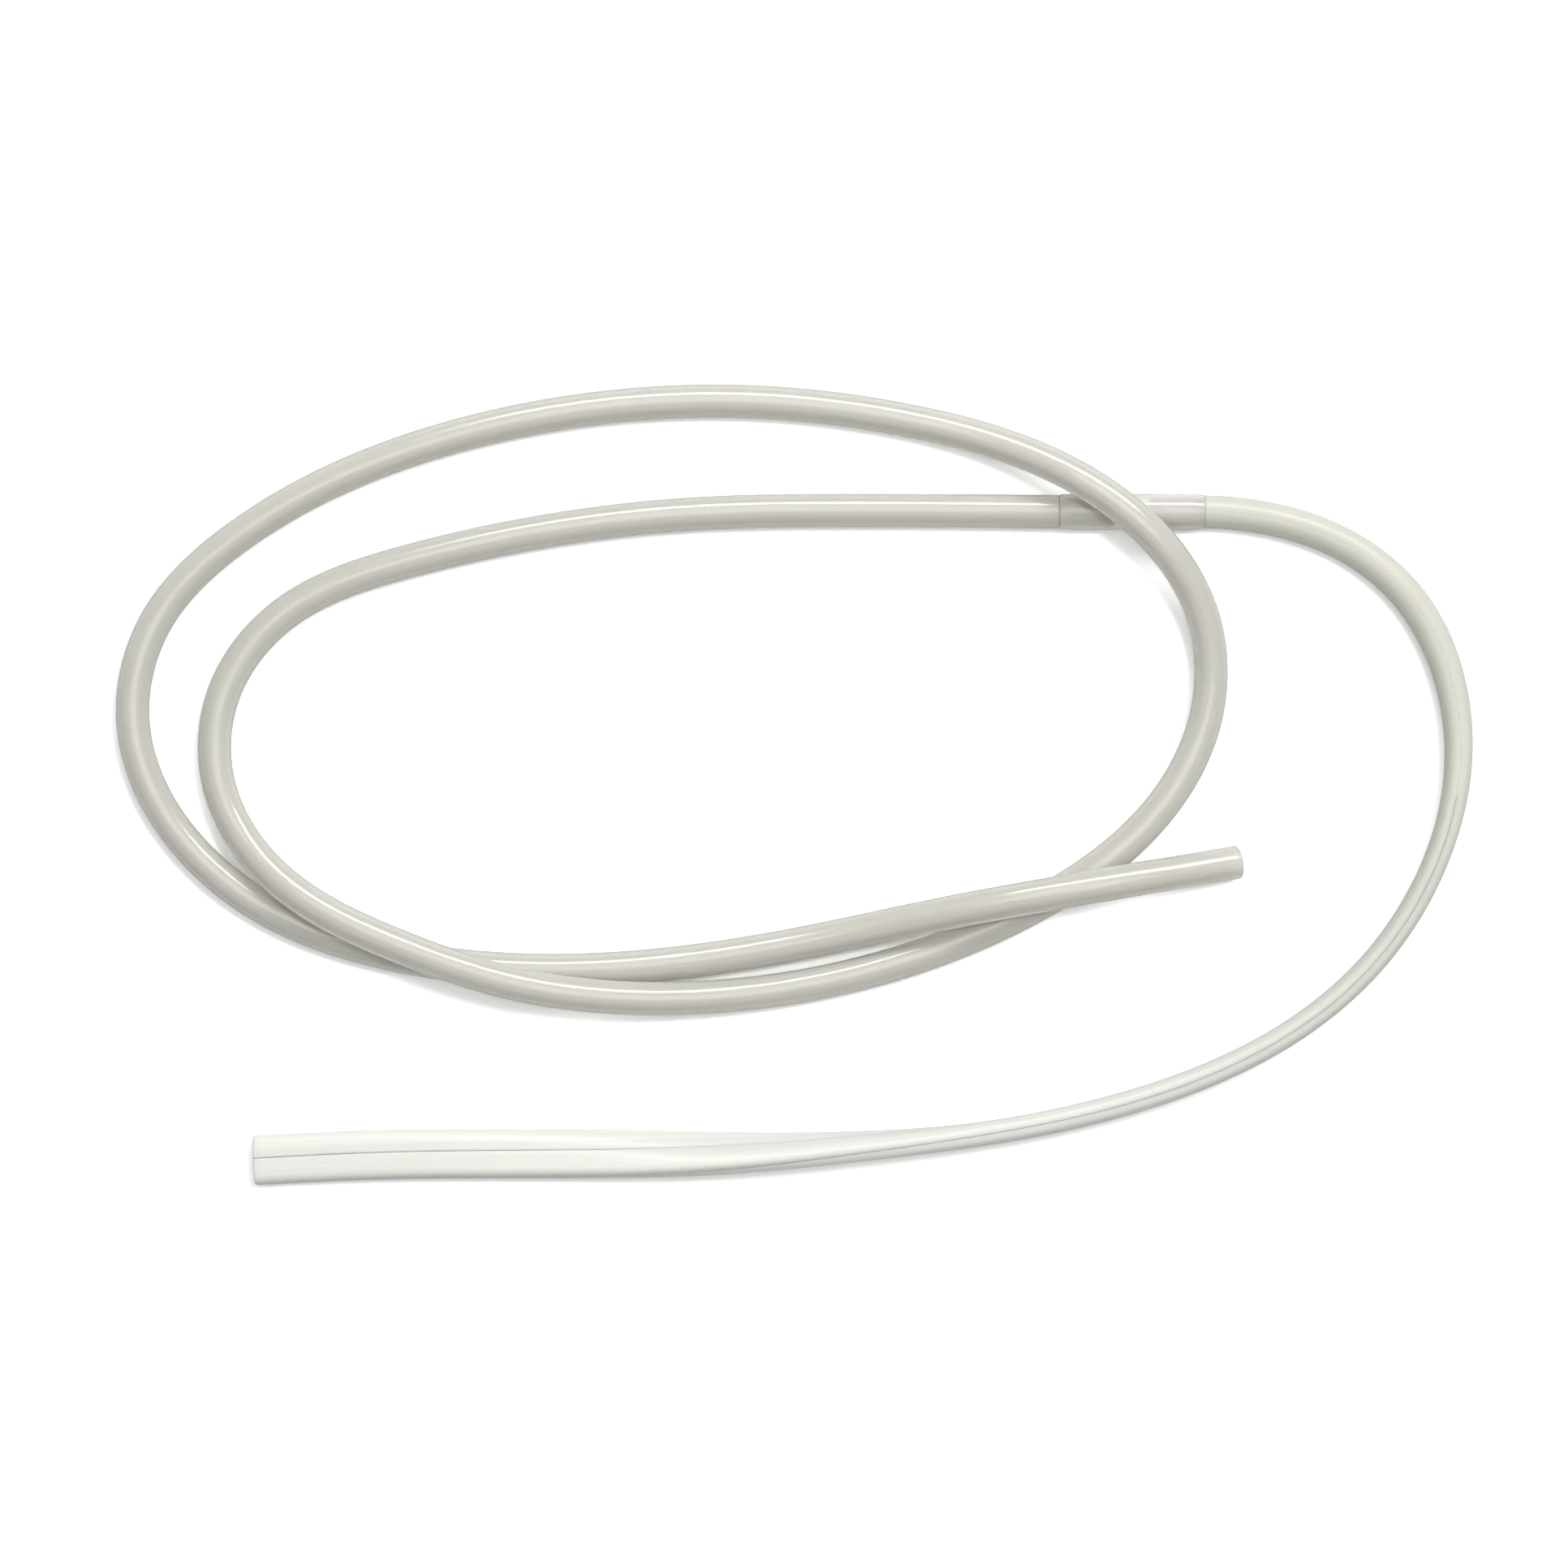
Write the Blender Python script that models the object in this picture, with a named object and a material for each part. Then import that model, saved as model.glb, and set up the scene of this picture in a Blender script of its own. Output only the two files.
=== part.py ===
"""A soft surgical drain lying on a table. A clear round extension tube lies in a loose double loop,
a short clear collar joins it to the drain section, and the white drain section has four channels that
open in slits and turn from standing on edge to lying flat. Sizes are in metres and +Z is up."""

import bmesh
import bpy
import numpy as np
from mathutils.geometry import tessellate_polygon

MM = 0.001

# Extension tube
TUBE_DIAMETER = 5.0 * MM
TUBE_BORE = 3.2 * MM
TUBE_SIDES = 16

# Collar, and the necks of the tube and the drain that sit in its two sockets
COLLAR_X = 50.0 * MM
COLLAR_Y = 40.5 * MM
COLLAR_LENGTH = 21.4 * MM
COLLAR_WALL = 0.4 * MM
COLLAR_SIDES = 24
SOCKET_DEPTH = 8.0 * MM
LIP_LENGTH = 2.1 * MM
LIP_DROP = 0.15 * MM
NECK_WALL = 0.4 * MM
FIT_GAP = 0.3 * MM
CHAMFER = 0.3 * MM

# Drain section, by distance from the collar's face: round shank, blend, then flat with open slits
SHANK_DIAMETER = 4.9 * MM
SHANK_WEB = 0.7 * MM
SHANK_END = 33.0 * MM
SLIT_START = 65.0 * MM
FLAT_START = 78.0 * MM
DRAIN_WIDTH = 7.3 * MM
DRAIN_THICKNESS = 3.5 * MM
DRAIN_WALL = 0.7 * MM
DRAIN_WEB = 0.8 * MM
SLIT_WIDTH = 0.4 * MM
ROUND = 2.0
SQUARISH = 3.2
FLANGE_POINTS = 7
CHANNEL_POINTS = 3
CORNER_SEARCH_POINTS = 400

# Centre line of the tube from the collar to its free end, seen from above, in millimetres
TUBE_ROUTE = [
    (27.8, 40.6), (5.4, 40.7), (-16.3, 40.1), (-37.6, 37.5), (-58.1, 32.9), (-75.2, 25.5),
    (-84.3, 13.4), (-84.8, -0.2), (-76.3, -13.4), (-59.0, -23.2), (-40.3, -29.3), (-20.2, -31.4),
    (0.2, -29.8), (20.1, -24.7), (38.4, -16.3), (53.0, -4.8), (60.9, 9.8), (60.3, 25.4),
    (51.0, 38.7), (35.3, 48.6), (15.9, 54.2), (-4.7, 56.7), (-25.5, 56.2), (-46.1, 52.7),
    (-65.6, 46.2), (-82.6, 36.5), (-94.5, 23.8), (-97.6, 9.0), (-91.7, -6.0), (-78.8, -17.7),
    (-61.2, -24.5), (-41.0, -27.2), (-20.1, -26.5), (1.1, -23.3), (22.9, -18.7), (44.4, -14.8),
    (65.7, -11.3),
]

# Centre line of the drain from the collar to its free end, in millimetres, with its roll in degrees:
# 90 stands on edge and 0 lies flat
DRAIN_ROUTE = [
    (67.3, 40.0, 90), (81.0, 35.9, 90), (91.3, 27.5, 90), (97.2, 14.9, 90), (98.0, 0.7, 90),
    (93.9, -13.3, 90), (85.9, -25.7, 90), (74.3, -35.8, 90), (60.2, -43.1, 90), (44.6, -48.1, 90),
    (27.8, -51.4, 89), (10.2, -53.2, 75), (-7.8, -54.2, 52), (-25.9, -54.4, 28), (-44.2, -54.4, 20),
    (-62.4, -54.6, 15), (-79.8, -55.4, 13),
]

# Stretches of tube that pass over others, by distance along the tube from the collar
LOOP_OVER_COLLAR = (310 * MM, 400 * MM)
FIRST_PASS_OVER = (140 * MM, 245 * MM)
SECOND_PASS_UNDER = (530 * MM, 641 * MM)
SECOND_PASS_OVER = (641 * MM, 720 * MM)
FIRST_PASS_UNDER = (245 * MM, 320 * MM)
STRAND_GAP = 0.3 * MM
HUMP_RADIUS = 30.0 * MM
EASING_ROUNDS = 200

# How finely the routes are followed
SAMPLE_STEP = 1.0 * MM
CHORD_ERROR = 0.1 * MM
SHORTEST_STEP = 4.0 * MM
LONGEST_STEP = 9.0 * MM
SHARP_ANGLE = np.radians(40)

# Sizes that follow from those above
TUBE_RADIUS = TUBE_DIAMETER / 2
BORE_RADIUS = TUBE_BORE / 2
NECK_RADIUS = BORE_RADIUS + NECK_WALL
SOCKET_RADIUS = NECK_RADIUS + FIT_GAP
COLLAR_RADIUS = SOCKET_RADIUS + COLLAR_WALL
SHOULDER = FIT_GAP + CHAMFER
NECK_LENGTH = SOCKET_DEPTH - FIT_GAP


def clear_scene():
    for obj in list(bpy.data.objects):
        bpy.data.objects.remove(obj)


def distances(line):
    """How far along a line of points each of them is."""
    return np.concatenate([[0.0], np.cumsum(np.linalg.norm(np.diff(line, axis=0), axis=1))])


def smooth_route(points, start_slope):
    """Close samples of the cubic spline that leaves the first point at start_slope and ends unbent."""
    points = np.array(points, float)
    knots = distances(points[:, :2])
    span = np.diff(knots)
    slope = np.diff(points, axis=0) / span[:, None]
    last = len(points) - 1
    matrix = np.zeros((last + 1, last + 1))
    right = np.zeros_like(points)
    matrix[0, :2] = 2 * span[0], span[0]
    right[0] = 6 * (slope[0] - start_slope)
    for i in range(1, last):
        matrix[i, i - 1 : i + 2] = span[i - 1], 2 * (span[i - 1] + span[i]), span[i]
        right[i] = 6 * (slope[i] - slope[i - 1])
    matrix[last, last] = 1
    bend = np.linalg.solve(matrix, right)
    place = np.linspace(0, knots[-1], round(knots[-1] / SAMPLE_STEP) + 1)
    i = np.clip(np.searchsorted(knots, place, side="right") - 1, 0, last - 1)
    before = (place - knots[i])[:, None]
    after = (knots[i + 1] - place)[:, None]
    wide = span[i][:, None]
    curved = (bend[i] * after**3 + bend[i + 1] * before**3) / (6 * wide)
    start = (points[i] / wide - bend[i] * wide / 6) * after
    end = (points[i + 1] / wide - bend[i + 1] * wide / 6) * before
    return curved + start + end


def route_from_collar(points, direction):
    """A route that starts at the shoulder just outside the collar and leaves along its axis."""
    extra = len(points[0]) - 2
    start = [COLLAR_X + direction * (COLLAR_LENGTH / 2 + SHOULDER), COLLAR_Y]
    rows = [[*start, *points[0][2:]]]
    rows += [[x * MM, y * MM, *rest] for x, y, *rest in points]
    return smooth_route(rows, np.array([direction, 0.0] + [0.0] * extra))


def part_of(along, stretch):
    return (along > stretch[0]) & (along < stretch[1])


def height_over(over, under, under_height, reach):
    """Lowest centre height at which each point of one strand clears another strand below it."""
    apart = np.linalg.norm(over[:, None] - under[None], axis=2)
    rise = np.sqrt(np.maximum(reach**2 - apart**2, 0))
    return np.where(apart < reach, under_height + rise, 0).max(axis=1)


def eased(line, least):
    """The heights of a strand that comes down from its crossings in long low humps."""
    along = distances(line)
    drop = (along[:, None] - along[None]) ** 2 / (2 * HUMP_RADIUS)
    least = (least[None] - drop).max(axis=1)
    height = least
    for _ in range(EASING_ROUNDS):
        level = height.copy()
        level[1:-1] = (height[:-2] + 2 * height[1:-1] + height[2:]) / 4
        height = np.maximum(level, least)
    return height


def tube_heights(tube, drain):
    """Centre heights of the tube's samples, lying on the table and over the strands that it crosses."""
    along = distances(tube)
    least = np.full(len(tube), TUBE_RADIUS)
    least[0] = COLLAR_RADIUS
    joint = np.concatenate([
        tube[along < COLLAR_LENGTH],
        np.linspace(tube[0], drain[0], round(COLLAR_LENGTH / SAMPLE_STEP)),
        drain[distances(drain) < COLLAR_LENGTH],
    ])
    loop = part_of(along, LOOP_OVER_COLLAR)
    joint_reach = TUBE_RADIUS + COLLAR_RADIUS + STRAND_GAP
    least[loop] = np.maximum(
        least[loop], height_over(tube[loop], joint, COLLAR_RADIUS, joint_reach)
    )
    height = eased(tube, least)
    passes = [(FIRST_PASS_OVER, SECOND_PASS_UNDER), (SECOND_PASS_OVER, FIRST_PASS_UNDER)]
    for over, under in 2 * passes:
        above = part_of(along, over)
        below = part_of(along, under)
        strands = TUBE_DIAMETER + STRAND_GAP
        needed = height_over(tube[above], tube[below], height[below], strands)
        least[above] = np.maximum(least[above], needed)
        height = eased(tube, least)
    return height


def stations(line):
    """Places along a line, closer together where it bends, and the frame of axes at each."""
    along = distances(line)
    tangent = np.gradient(line, along, axis=0)
    tangent /= np.linalg.norm(tangent, axis=1)[:, None]
    bending = np.linalg.norm(np.gradient(tangent, along, axis=0), axis=1)
    density = np.clip(np.sqrt(bending / (8 * CHORD_ERROR)), 1 / LONGEST_STEP, 1 / SHORTEST_STEP)
    count = np.concatenate([[0.0], np.cumsum((density[1:] + density[:-1]) / 2 * np.diff(along))])
    place = np.interp(np.linspace(0, count[-1], round(count[-1]) + 1), count, along)
    centre = np.stack([np.interp(place, along, line[:, k]) for k in range(3)], 1)
    ahead = np.stack([np.interp(place, along, tangent[:, k]) for k in range(3)], 1)
    ahead[0] = [np.sign(ahead[0, 0]), 0, 0]
    ahead /= np.linalg.norm(ahead, axis=1)[:, None]
    side = np.cross(ahead, [0, 0, 1])
    side /= np.linalg.norm(side, axis=1)[:, None]
    return place, centre, ahead, side, np.cross(side, ahead)


def ring(centre, side, up, radius):
    """A round cross-section with points exactly at its sides, its top and its bottom."""
    turn = np.arange(TUBE_SIDES) * 2 * np.pi / TUBE_SIDES
    return centre + radius * (np.outer(np.cos(turn), side) + np.outer(np.sin(turn), up))


def skin(bm, loops):
    """Walls between each closed loop of vertices and the next."""
    for near, far in zip(loops, loops[1:]):
        for k in range(len(near)):
            bm.faces.new((near[k - 1], near[k], far[k], far[k - 1]))


def cap(bm, loops):
    """A flat end inside the first loop and outside the others."""
    verts = [vert for loop in loops for vert in loop]
    for corners in tessellate_polygon([[vert.co for vert in loop] for loop in loops]):
        bm.faces.new([verts[k] for k in corners])


def silicone(name, color, roughness):
    material = bpy.data.materials.new(name)
    material.use_nodes = True
    shader = material.node_tree.nodes["Principled BSDF"]
    shader.inputs["Base Color"].default_value = (*color, 1.0)
    shader.inputs["Roughness"].default_value = roughness
    return material


def add_object(name, bm, material):
    bmesh.ops.recalc_face_normals(bm, faces=bm.faces)
    mesh = bpy.data.meshes.new(name)
    bm.to_mesh(mesh)
    bm.free()
    mesh.shade_smooth()
    mesh.set_sharp_from_angle(angle=SHARP_ANGLE)
    mesh.materials.append(material)
    obj = bpy.data.objects.new(name, mesh)
    bpy.context.scene.collection.objects.link(obj)
    return obj


def make_tube(line):
    """The hollow tube, with a thinner neck that goes into the collar."""
    _, centre, ahead, side, up = stations(line)
    inside = centre[0] - ahead[0] * (SHOULDER + NECK_LENGTH)
    step = centre[0] - ahead[0] * CHAMFER
    outer = [
        ring(inside, side[0], up[0], NECK_RADIUS),
        ring(step, side[0], up[0], NECK_RADIUS),
        ring(step, side[0], up[0], TUBE_RADIUS - CHAMFER),
    ]
    outer += [ring(*frame, TUBE_RADIUS) for frame in zip(centre, side, up)]
    bore = [ring(inside, side[0], up[0], BORE_RADIUS)]
    bore += [ring(*frame, BORE_RADIUS) for frame in zip(centre, side, up)]
    bm = bmesh.new()
    outer = [[bm.verts.new(point) for point in loop] for loop in outer]
    bore = [[bm.verts.new(point) for point in loop] for loop in bore]
    skin(bm, outer)
    skin(bm, bore)
    skin(bm, [outer[0], bore[0]])
    skin(bm, [outer[-1], bore[-1]])
    return add_object("extension_tube", bm, silicone("clear silicone", (0.84, 0.83, 0.77), 0.3))


def make_collar():
    """The sleeve, turned about its own axis: two sockets with a stop between them."""
    half = COLLAR_LENGTH / 2
    stop = half - SOCKET_DEPTH
    lip = COLLAR_RADIUS - LIP_DROP
    right_half = [
        (stop, BORE_RADIUS), (stop, SOCKET_RADIUS), (half, SOCKET_RADIUS),
        (half, lip), (half - LIP_LENGTH, COLLAR_RADIUS),
    ]
    profile = right_half + [(-x, radius) for x, radius in reversed(right_half)]
    centre = np.array([COLLAR_X, COLLAR_Y, COLLAR_RADIUS])
    bm = bmesh.new()
    verts = [bm.verts.new(centre + [x, 0, radius]) for x, radius in profile]
    edges = [bm.edges.new((verts[k - 1], verts[k])) for k in range(len(verts))]
    bmesh.ops.spin(
        bm, geom=verts + edges, cent=centre, axis=(1, 0, 0), angle=2 * np.pi,
        steps=COLLAR_SIDES, use_merge=True,
    )
    return add_object("transition_collar", bm, silicone("clear collar", (0.86, 0.85, 0.8), 0.3))


def outline_at(distance):
    """Half sizes, channel half sizes, squareness and web of the drain at a distance from the collar."""
    share = np.clip((distance - SHANK_END) / (FLAT_START - SHANK_END), 0, 1)
    share = share * share * (3 - 2 * share)

    def blend(shank, flat):
        return shank + (flat - shank) * share

    return {
        "wide": blend(SHANK_DIAMETER, DRAIN_WIDTH) / 2,
        "thick": blend(SHANK_DIAMETER, DRAIN_THICKNESS) / 2,
        "inner_wide": blend(BORE_RADIUS, DRAIN_WIDTH / 2 - DRAIN_WALL),
        "inner_thick": blend(BORE_RADIUS, DRAIN_THICKNESS / 2 - DRAIN_WALL),
        "power": blend(ROUND, SQUARISH),
        "web": blend(SHANK_WEB, DRAIN_WEB),
    }


def on_oval(wide, thick, power, turn):
    """Points on the first quarter of an oval that is squarer the higher its power."""
    return np.stack([wide * np.cos(turn) ** (2 / power), thick * np.sin(turn) ** (2 / power)], -1)


def slit_turn(size, power):
    """How far from the axis an oval of this half size reaches half the slit's width."""
    return np.arcsin((SLIT_WIDTH / 2 / size) ** (power / 2))


def drain_section(wide, thick, inner_wide, inner_thick, power, web):
    """Four flange outlines and the four channel outlines that follow them, counterclockwise."""
    low = slit_turn(thick, power)
    high = np.pi / 2 - slit_turn(wide, power)
    flange = on_oval(wide, thick, power, np.linspace(low, high, FLANGE_POINTS))
    turn = np.linspace(0, np.pi / 2, CORNER_SEARCH_POINTS)
    diagonal = np.hypot(inner_wide, inner_thick)
    offset = on_oval(inner_wide, inner_thick, power, turn) @ [-inner_thick, inner_wide] / diagonal
    low_corner, high_corner = np.interp([-web / 2, web / 2], offset, turn)
    high = np.pi / 2 - slit_turn(inner_wide, power)
    turn = np.linspace(high, high_corner, CHANNEL_POINTS)
    top = on_oval(inner_wide, inner_thick, power, turn)
    low = slit_turn(inner_thick, power)
    turn = np.linspace(low, low_corner, CHANNEL_POINTS)
    edge = on_oval(inner_wide, inner_thick, power, turn)
    top_root = [[0, web / 2 * diagonal / inner_wide]]
    edge_root = [[web / 2 * diagonal / inner_thick, 0]]
    mirror = np.array([-1, 1])
    top_channel = np.concatenate([top, top_root, top[::-1] * mirror])
    left_channel = np.concatenate([edge, edge_root, edge[::-1] * -mirror]) * mirror
    flanges = [flange, flange[::-1] * mirror, -flange, flange[::-1] * -mirror]
    return flanges, [top_channel, left_channel, -top_channel, -left_channel]


def resting_height(outline, roll):
    """Height of the drain's centre above the table that its rolled outline touches."""
    power = outline["power"] / (outline["power"] - 1)
    reach = (outline["wide"] * abs(np.sin(roll))) ** power
    reach += (outline["thick"] * abs(np.cos(roll))) ** power
    return reach ** (1 / power)


def make_drain(route):
    """The drain section: a shank with four closed channels, which slits open further on."""
    along = distances(route[:, :2]) + SHOULDER
    roll = np.radians(route[:, 2])
    least = np.array([resting_height(outline_at(s), r) for s, r in zip(along, roll)])
    least[0] = COLLAR_RADIUS
    line = np.column_stack([route[:, :2], eased(route[:, :2], least)])
    place, centre, ahead, side, up = stations(line)
    place = place + SHOULDER
    rolls = np.interp(place, along, roll)
    outlines = [outline_at(s) for s in place]
    inside = centre[0] - ahead[0] * (SHOULDER + NECK_LENGTH)
    step = centre[0] - ahead[0] * CHAMFER
    neck = {**outlines[0], "wide": NECK_RADIUS, "thick": NECK_RADIUS}
    shoulder_radius = SHANK_DIAMETER / 2 - CHAMFER
    shoulder = {**outlines[0], "wide": shoulder_radius, "thick": shoulder_radius}
    necked = [neck, neck, shoulder]
    outlines = necked + outlines
    centres = [inside, step, step, *centre]
    rolls = np.concatenate([len(necked) * [rolls[0]], rolls])
    sides = len(necked) * [side[0]] + list(side)
    ups = len(necked) * [up[0]] + list(up)
    slit_from = len(necked) + int(np.argmin(abs(place - SLIT_START)))

    bm = bmesh.new()
    flanges, channels = [], []
    for k, outline in enumerate(outlines):
        across = sides[k] * np.cos(rolls[k]) - ups[k] * np.sin(rolls[k])
        through = sides[k] * np.sin(rolls[k]) + ups[k] * np.cos(rolls[k])
        for kept, shapes in zip((flanges, channels), drain_section(**outline)):
            points = [centres[k] + shape @ np.array([across, through]) for shape in shapes]
            kept.append([[bm.verts.new(point) for point in shape] for shape in points])

    closed = [sum(four, []) for four in flanges[: slit_from + 1]]
    skin(bm, closed)
    shut = [channels[0], *channels[len(necked) : slit_from + 1]]
    for four in zip(*shut):
        skin(bm, four)
    opened = [
        sum((flange + channel for flange, channel in zip(*both)), [])
        for both in zip(flanges[slit_from:], channels[slit_from:])
    ]
    skin(bm, opened)
    for k in range(4):
        flange, channel = flanges[slit_from], channels[slit_from][k]
        bm.faces.new((flange[k][-1], channel[0], channel[-1], flange[(k + 1) % 4][0]))
    cap(bm, [closed[0], *channels[0]])
    cap(bm, [opened[-1]])
    loose = [vert for vert in bm.verts if not vert.link_faces]
    bmesh.ops.delete(bm, geom=loose, context="VERTS")
    return add_object("fluted_drain", bm, silicone("white silicone", (0.9, 0.9, 0.87), 0.4))


def main():
    clear_scene()
    tube = route_from_collar(TUBE_ROUTE, -1.0)
    drain = route_from_collar(DRAIN_ROUTE, 1.0)
    make_tube(np.column_stack([tube, tube_heights(tube, drain[:, :2])]))
    make_collar()
    make_drain(drain)


main()
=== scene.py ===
"""Looks of a silicone wound drain: a clear tube in a loose double loop, a clear collar and a white
drain section whose channels open in slits. The routes are those of the solid model, in
millimetres. All other sizes are in metres."""

import math
from collections import namedtuple

import bpy
import numpy as np
from bpy.props import FloatProperty, FloatVectorProperty, IntProperty, PointerProperty
from bpy.types import Operator, Panel, PropertyGroup
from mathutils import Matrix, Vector
from mathutils.geometry import tessellate_polygon


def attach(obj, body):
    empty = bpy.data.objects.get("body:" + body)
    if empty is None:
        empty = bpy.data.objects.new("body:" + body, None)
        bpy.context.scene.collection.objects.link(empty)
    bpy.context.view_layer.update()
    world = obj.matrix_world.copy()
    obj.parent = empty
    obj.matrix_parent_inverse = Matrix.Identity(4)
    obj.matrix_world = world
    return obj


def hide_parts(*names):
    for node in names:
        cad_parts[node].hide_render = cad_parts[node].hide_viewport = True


bl_info = {
    "name": "Wound drain looks",
    "version": (1, 0, 0),
    "blender": (4, 5, 0),
    "location": "View3D > Sidebar > Wound drain",
    "description": "Builds the silicone surfaces of a wound drain round its packed solids",
    "category": "Object",
}

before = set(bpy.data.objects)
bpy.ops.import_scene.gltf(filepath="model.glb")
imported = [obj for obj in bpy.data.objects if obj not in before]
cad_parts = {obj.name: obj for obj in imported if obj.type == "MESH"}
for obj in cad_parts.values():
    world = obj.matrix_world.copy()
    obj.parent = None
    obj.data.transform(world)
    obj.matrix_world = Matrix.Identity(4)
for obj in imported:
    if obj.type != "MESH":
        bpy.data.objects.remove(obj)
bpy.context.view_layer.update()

MM = 0.001
BODY = "root"

# Centre line of the tube from the collar to its free end, seen from above, in millimetres
TUBE_ROUTE = [
    (27.8, 40.6), (5.4, 40.7), (-16.3, 40.1), (-37.6, 37.5), (-58.1, 32.9), (-75.2, 25.5),
    (-84.3, 13.4), (-84.8, -0.2), (-76.3, -13.4), (-59.0, -23.2), (-40.3, -29.3), (-20.2, -31.4),
    (0.2, -29.8), (20.1, -24.7), (38.4, -16.3), (53.0, -4.8), (60.9, 9.8), (60.3, 25.4),
    (51.0, 38.7), (35.3, 48.6), (15.9, 54.2), (-4.7, 56.7), (-25.5, 56.2), (-46.1, 52.7),
    (-65.6, 46.2), (-82.6, 36.5), (-94.5, 23.8), (-97.6, 9.0), (-91.7, -6.0), (-78.8, -17.7),
    (-61.2, -24.5), (-41.0, -27.2), (-20.1, -26.5), (1.1, -23.3), (22.9, -18.7), (44.4, -14.8),
    (65.7, -11.3),
]

# Centre line of the drain from the collar to its free end, in millimetres, with its roll in degrees
DRAIN_ROUTE = [
    (67.3, 40.0, 90), (81.0, 35.9, 90), (91.3, 27.5, 90), (97.2, 14.9, 90), (98.0, 0.7, 90),
    (93.9, -13.3, 90), (85.9, -25.7, 90), (74.3, -35.8, 90), (60.2, -43.1, 90), (44.6, -48.1, 90),
    (27.8, -51.4, 89), (10.2, -53.2, 75), (-7.8, -54.2, 52), (-25.9, -54.4, 28), (-44.2, -54.4, 20),
    (-62.4, -54.6, 15), (-79.8, -55.4, 13),
]

# Stretches of tube that cross over or under others, by distance along the tube from the collar
LOOP_OVER_COLLAR = (310 * MM, 400 * MM)
FIRST_PASS_OVER = (140 * MM, 245 * MM)
SECOND_PASS_UNDER = (530 * MM, 641 * MM)
SECOND_PASS_OVER = (641 * MM, 720 * MM)
FIRST_PASS_UNDER = (245 * MM, 320 * MM)

# How strands are lifted over each other and let down again
STRAND_GAP = 0.3 * MM
HUMP_RADIUS = 30.0 * MM
CROSSING_ROUNDS = 2
EASING_ROUNDS = 200
SAMPLE_STEP = 1.0 * MM

# How finely the drain's section and the rounded edges are drawn
FLANGE_POINTS = 15
CHANNEL_POINTS = 5
EDGE_POINTS = 4
LIP_POINTS = 7
OVAL_SAMPLES = 400
OVAL_MARGIN = 0.01
CORNER_CUTS = 2
CORNER_SHARE = 0.25

# Edges that turn by less than this look smooth, and points closer than this become one
SMOOTH_ANGLE = math.radians(35)
MERGE_DISTANCE = 0.002 * MM

# The power that makes an oval round, and the rings of the drain before its full section starts
CIRCLE_POWER = 2.0
NECK_RINGS = 3

# Patterns in the silicone: the share of the scale that is kept along the extrusion, scale and detail
STREAKS = {"along": 0.006, "scale": 1500, "detail": 3}
HANDLING_MARKS = {"along": 0.05, "scale": 500, "detail": 4}
FINE_LINES = {"along": 0.01, "scale": 2600, "detail": 2}

# Most of the noise lies between these two values
NOISE_LOW = 0.3
NOISE_HIGH = 0.7

# How the patterns and the inside of the silicone look
LINE_DEPTH = 0.01 * MM
LINE_STRENGTH = 0.3
SMOOTHER_BY = 0.02
ROUGHER_BY = 0.03
SCATTER_COLOR = (1.0, 0.95, 0.8)
SCATTER_DEPTH = 1.2 * MM

# Nearest distance that the camera shows
NEAREST_SEEN = 10.0 * MM

Ring = namedtuple("Ring", "place centre axes outline")


def length_property(name, description, default):
    return FloatProperty(
        name=name, description=description, default=default, min=0, unit="LENGTH", precision=5
    )


def color_property(name, description, default):
    return FloatVectorProperty(
        name=name, description=description, default=default, subtype="COLOR", min=0, max=1
    )


def share_property(name, description, default):
    return FloatProperty(name=name, description=description, default=default, min=0, max=1)


def power_property(name, description, default):
    return FloatProperty(name=name, description=description, default=default, unit="POWER")


def place_property(name, description, default):
    return FloatVectorProperty(
        name=name, description=description, default=default, subtype="TRANSLATION", unit="LENGTH"
    )


def size_property(name, description, default):
    return FloatVectorProperty(
        name=name, description=description, default=default, size=2, unit="LENGTH", min=0
    )


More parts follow.
